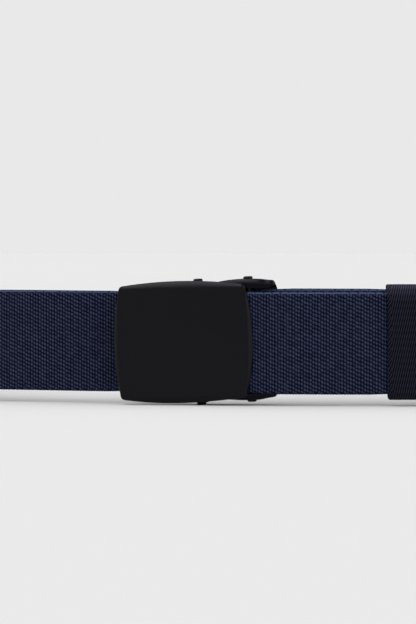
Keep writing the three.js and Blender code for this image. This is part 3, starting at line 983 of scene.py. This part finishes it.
def elasticMaterial():
    material, add = newMaterial("elasticWovenTwillBlack")
    place = add("ShaderNodeUVMap", {"uv_map": "weaveMap"})
    split = add("ShaderNodeSeparateXYZ", links={0: place}).node
    along, up = split.outputs[0], split.outputs[1]
    slope = math.tan(math.radians(keeper["ribAngle"]))
    climb = add(mathNode, {"operation": "DIVIDE", 1: slope}, {0: up})
    across = add(mathNode, {"operation": "ADD"}, {0: along, 1: climb})
    # Slanted ribs, level picks across them, and the coarser cord of the twisted left and right edges
    twist = add(mathNode, {"operation": "MULTIPLY_ADD", 1: keeper["cordSlope"]}, {0: along, 2: up})
    waves = []
    for way, pitch in ((across, "ribPitch"), (up, "pickPitch"), (twist, "cordPitch")):
        wave = add(mathNode, {"operation": "MULTIPLY", 1: 2 * math.pi / (keeper[pitch] * mm)}, {0: way})
        waves.append(add(mathNode, {"operation": "SINE"}, {0: wave}))
    ribs, picks, cords = waves
    mixed = add(mathNode, {"operation": "MULTIPLY_ADD", 1: elasticLook["pickShare"]}, {0: picks, 2: ribs})
    fromEdge = add(mathNode, {"operation": "PINGPONG", 1: keeper["length"] / 2 * mm}, {0: along})
    onCord = add(mathNode, {"operation": "LESS_THAN", 1: keeper["cordWide"] * mm}, {0: fromEdge})
    mixed = add("ShaderNodeMix", {"data_type": "FLOAT"}, {0: onCord, 2: mixed, 3: cords})
    height = add(rangeNode, {
        "From Min": elasticLook["darkest"], "From Max": elasticLook["palest"],
    }, {"Value": mixed})
    # Painted shade: the colour darkens from the ribs to near black in the gaps between them
    shades = add("ShaderNodeValToRGB", {
        "stops": [(0, elasticLook["gap"]), (1, elasticLook["rib"])],
    }, {"Fac": height})
    # Painted light: paler toward the upper fold, where the elastic's top turns up to the light
    paintedFoldLight = add("ShaderNodeValToRGB", {
        "stops": [(0, elasticLook["foldLitGap"]), (1, elasticLook["foldLitRib"])],
    }, {"Fac": height})
    place = add("ShaderNodeTexCoord").node.outputs["Object"]
    level = add("ShaderNodeSeparateXYZ", links={0: place}).node.outputs[2]
    fold = keeper["middle"] + keeper["halfHeight"]
    near = add(rangeNode, {
        "From Min": (fold - elasticLook["foldLitWide"]) * mm, "From Max": fold * mm,
    }, {"Value": level})
    near = add(mathNode, {"operation": "POWER", 1: elasticLook["foldLitPower"]}, {0: near})
    colour = add("ShaderNodeMix", {"data_type": "RGBA"}, {0: near, 6: shades, 7: paintedFoldLight}).node.outputs[2]
    relief = add("ShaderNodeBump", {
        "Strength": elasticLook["relief"], "Distance": keeper["ribDepth"] * mm,
    }, {"Height": height})
    surface = add("ShaderNodeBsdfPrincipled", {
        "Roughness": elasticLook["roughness"], "Specular IOR Level": elasticLook["specular"],
    }, {"Base Color": colour, "Normal": relief})
    add("ShaderNodeOutputMaterial", links={"Surface": surface})
    return material


elastic, elasticGirth = makeKeeper()
placePiece(elastic, elasticMaterial(), "keeper_loop")


# Floor, light and camera

# The camera looks at the buckle from a little to its right, from just above the belt
view = {
    "turn": 9, "height": 57.4, "distance": 900, "aside": 9.62,
    "frameHeight": 624, "focalPixels": 2394, "horizonPixel": 253, "sensor": 36,
}


def makeCamera():
    turn = math.radians(view["turn"])
    right = Vector((math.cos(turn), math.sin(turn), 0))
    ahead = Vector((-math.sin(turn), math.cos(turn), 0))
    target = Vector((0, faceY, 0)) + right * view["aside"]
    place = target - ahead * view["distance"]
    place.z = view["height"]
    dip = math.atan((view["frameHeight"] / 2 - view["horizonPixel"]) / view["focalPixels"])
    look = ahead * math.cos(dip) - Vector((0, 0, math.sin(dip)))
    lens = bpy.data.cameras.new("camera")
    lens.lens = view["focalPixels"] * view["sensor"] / view["frameHeight"]
    lens.sensor_width = view["sensor"]
    lens.clip_start = 0.02
    lens.clip_end = 1000
    camera = newObject("camera", lens)
    camera.location = place * mm
    camera.rotation_mode = "QUATERNION"
    camera.rotation_quaternion = look.to_track_quat("-Z", "Y")
    bpy.context.scene.camera = camera


makeCamera()

# Matt white card, pale and even, so wide that its far edge is the horizon
floorLook = {"size": 600, "colour": "#e6e6e6"}


def makeFloor():
    half = floorLook["size"] / 2
    mesh = bpy.data.meshes.new("floor")
    corners = [(-half, -half, 0), (half, -half, 0), (half, half, 0), (-half, half, 0)]
    mesh.from_pydata(corners, [], [(0, 1, 2, 3)])
    floor = newObject("floor", mesh)
    material, add = newMaterial("cardMattWhite")
    surface = add("ShaderNodeBsdfPrincipled", {
        "Base Color": linearColour(floorLook["colour"]), "Roughness": 0.9, "Specular IOR Level": 0,
    })
    add("ShaderNodeOutputMaterial", links={"Surface": surface})
    mesh.materials.append(material)


makeFloor()

# A white tent with a long strip light overhead, a softbox on either side of the camera and one at
# each end
tent = {
    "backdrop": "#e9e9e9", "low": 0.12, "overhead": 0.1, "overheadPower": 3,
    # strength, power, degrees to the right of the camera and above the floor
    "softboxes": [(0.3, 10, -40, 22), (1.5, 10, 40, 22), (1.6, 6, -99, 28), (1.6, 6, 81, 28)],
    # the strip's strength overhead, how far to the left it hangs and its reach on either side, then
    # its share at the back and where it has come down to that
    "strip": 5.2, "stripLeft": 0.19, "stripHalf": 0.16, "stripBack": 0.15, "backFrom": 0.5,
}


def makeTent():
    world = bpy.data.worlds.new("tent")
    bpy.context.scene.world = world
    world.use_nodes = True
    world.node_tree.nodes.clear()
    add = partial(addNode, world.node_tree)
    way = add("ShaderNodeTexCoord").node.outputs["Generated"]
    split = add("ShaderNodeSeparateXYZ", links={0: way}).node
    up = add(mathNode, {"operation": "MAXIMUM", 1: 0}, {0: split.outputs[2]})
    overhead = add(mathNode, {"operation": "POWER", 1: tent["overheadPower"]}, {0: up})
    light = add(mathNode, {"operation": "MULTIPLY_ADD", 1: tent["overhead"], 2: tent["low"]}, {0: overhead})
    for strength, power, turn, height in tent["softboxes"]:
        turn = math.radians(view["turn"] + turn)
        height = math.radians(height)
        toward = (math.sin(turn) * math.cos(height), -math.cos(turn) * math.cos(height), math.sin(height))
        near = add("ShaderNodeVectorMath", {"operation": "DOT_PRODUCT", 1: toward}, {0: way})
        near = near.node.outputs["Value"]
        near = add(mathNode, {"operation": "MAXIMUM", 1: 0}, {0: near})
        near = add(mathNode, {"operation": "POWER", 1: power}, {0: near})
        light = add(mathNode, {"operation": "MULTIPLY_ADD", 1: strength}, {0: near, 2: light})
    # The strip runs over the belt from front to back, and fades toward its sides, ends and the back
    across = add(mathNode, {"operation": "ADD", 1: tent["stripLeft"]}, {0: split.outputs[0]})
    across = add(mathNode, {"operation": "DIVIDE", 1: tent["stripHalf"]}, {0: across})
    across = add(mathNode, {"operation": "MULTIPLY"}, {0: across, 1: across})
    strip = add(mathNode, {"operation": "SUBTRACT", 0: 1}, {1: across})
    strip = add(mathNode, {"operation": "MAXIMUM", 1: 0}, {0: strip})
    strip = add(mathNode, {"operation": "MULTIPLY"}, {0: strip, 1: up})
    fade = add(rangeNode, {
        "From Min": 0, "From Max": tent["backFrom"], "To Min": 1, "To Max": tent["stripBack"],
    }, {"Value": split.outputs[1]})
    strip = add(mathNode, {"operation": "MULTIPLY"}, {0: strip, 1: fade})
    light = add(mathNode, {"operation": "MULTIPLY_ADD", 1: tent["strip"]}, {0: strip, 2: light})
    lit = add("ShaderNodeBackground", {"Color": (1, 1, 1, 1)}, {"Strength": light})
    shown = add("ShaderNodeBackground", {"Color": linearColour(tent["backdrop"])})
    seen = add("ShaderNodeLightPath").node.outputs["Is Camera Ray"]
    mixed = add("ShaderNodeMixShader", links={0: seen, 1: lit, 2: shown})
    add("ShaderNodeOutputWorld", links={"Surface": mixed})


makeTent()
bpy.context.scene.view_settings.view_transform = "Standard"
print("scene: floor, light and camera are set")
